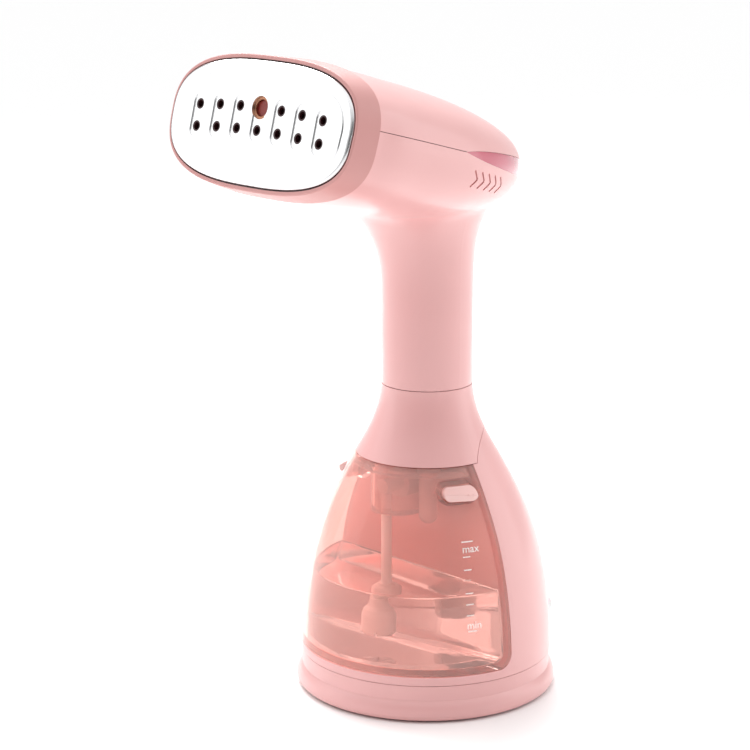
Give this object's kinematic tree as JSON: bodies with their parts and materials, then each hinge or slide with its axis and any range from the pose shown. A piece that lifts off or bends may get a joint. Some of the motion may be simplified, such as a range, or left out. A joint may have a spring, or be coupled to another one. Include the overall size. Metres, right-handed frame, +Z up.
{
  "type": "garment steamer",
  "caption": "Handheld garment steamer with a wide oval soleplate on a tilted head, a slim upright handle and a clip-out clear tank in its round base.",
  "frame": {"origin": "centre of the foot ring's underside, on the axis of the round body and handle", "axes": "+Z up along the handle, -Y toward the soleplate's side, X across; the outside is symmetric about X = 0"},
  "size_m": [0.11, 0.1752, 0.2728],
  "materials": {
    "foot_rubber": "matt",
    "base_plastic": "fine matt",
    "screw_steel": "zinc plated",
    "shell_pink": "high gloss",
    "gland_pvc": "translucent satin",
    "works_plastic": "natural moulded",
    "bay_pink": "semi gloss",
    "accent_rose": "high gloss",
    "bezel_pink": "satin",
    "plate_steel": "polished stainless steel",
    "gasket_silicone": "matt",
    "bush_brass": "dull",
    "plug_silicone": "matt",
    "cast_aluminium": "as cast",
    "element_steel": "annealed",
    "thermostat_steel": "plated",
    "switch_black": "moulded",
    "pump_black": "moulded",
    "hose_silicone": "translucent",
    "loom_sleeve": "braided sleeve",
    "board_green": "solder mask",
    "tank_clear": "clear tinted",
    "plug_clear": "translucent",
    "weight_rose": "gloss",
    "latch_pink": "gloss"
  },
  "bodies": {
    "body": {"foot_ring": "foot_rubber", "base_plate": "base_plastic", "base_screws": "screw_steel", "base_ring": "shell_pink", "cord_gland": "gland_pvc", "cord_clamp": "works_plastic", "clamp_screws": "screw_steel", "rear_housing": "shell_pink", "tank_bay": "bay_pink", "neck_collar": "shell_pink", "handle_shell": "shell_pink", "head_cover": "shell_pink", "accent_trim": "accent_rose", "bezel": "bezel_pink", "steam_plate": "plate_steel", "soleplate_gasket": "gasket_silicone", "port_sleeves": "gasket_silicone", "centre_bush": "bush_brass", "centre_plug": "plug_silicone", "steam_chamber": "cast_aluminium", "chamber_seal": "plug_silicone", "chamber_lid": "cast_aluminium", "chamber_screws": "screw_steel", "heating_element": "element_steel", "water_inlet": "works_plastic", "thermostat": "thermostat_steel", "thermal_fuse": "element_steel", "head_bracket": "works_plastic", "button_springs": "screw_steel", "microswitch": "switch_black", "switch_holder": "works_plastic", "dock_nozzle": "works_plastic", "dock_ring": "gasket_silicone", "pump": "pump_black", "pump_bracket": "works_plastic", "suction_hose": "hose_silicone", "feed_hose": "hose_silicone", "wiring_loom": "loom_sleeve", "circuit_board": "board_green", "board_mounts": "works_plastic", "terminal_block": "works_plastic"},
    "tank": {"tank_shell": "tank_clear", "tank_lid": "tank_clear", "filler_plug": "plug_clear", "dock_socket": "works_plastic", "pickup_hose": "hose_silicone", "pickup_weight": "weight_rose", "latch_spring_right": "screw_steel", "latch_spring_left": "screw_steel"},
    "right_latch": {"latch_right": "latch_pink"},
    "left_latch": {"latch_left": "latch_pink"},
    "button": {"steam_button": "latch_pink"}
  },
  "joints": [
    {"name": "tank_slide", "type": "slide", "parent": "body", "child": "tank", "axis": [0, -1, 0], "range_m": [0, 0.07]},
    {"name": "right_latch_press", "type": "slide", "parent": "tank", "child": "right_latch", "axis": [-0.9291, 0.3698, 0], "range_m": [0, 0.002], "stiffness_N_per_m": 600, "springref_m": -0.0015},
    {"name": "left_latch_press", "type": "slide", "parent": "tank", "child": "left_latch", "axis": [0.9291, 0.3698, 0], "range_m": [0, 0.002], "stiffness_N_per_m": 600, "springref_m": -0.0015},
    {"name": "steam_button_press", "type": "slide", "parent": "body", "child": "button", "axis": [0, -1, 0], "range_m": [0, 0.0022], "stiffness_N_per_m": 900, "springref_m": -0.0015}
  ]
}
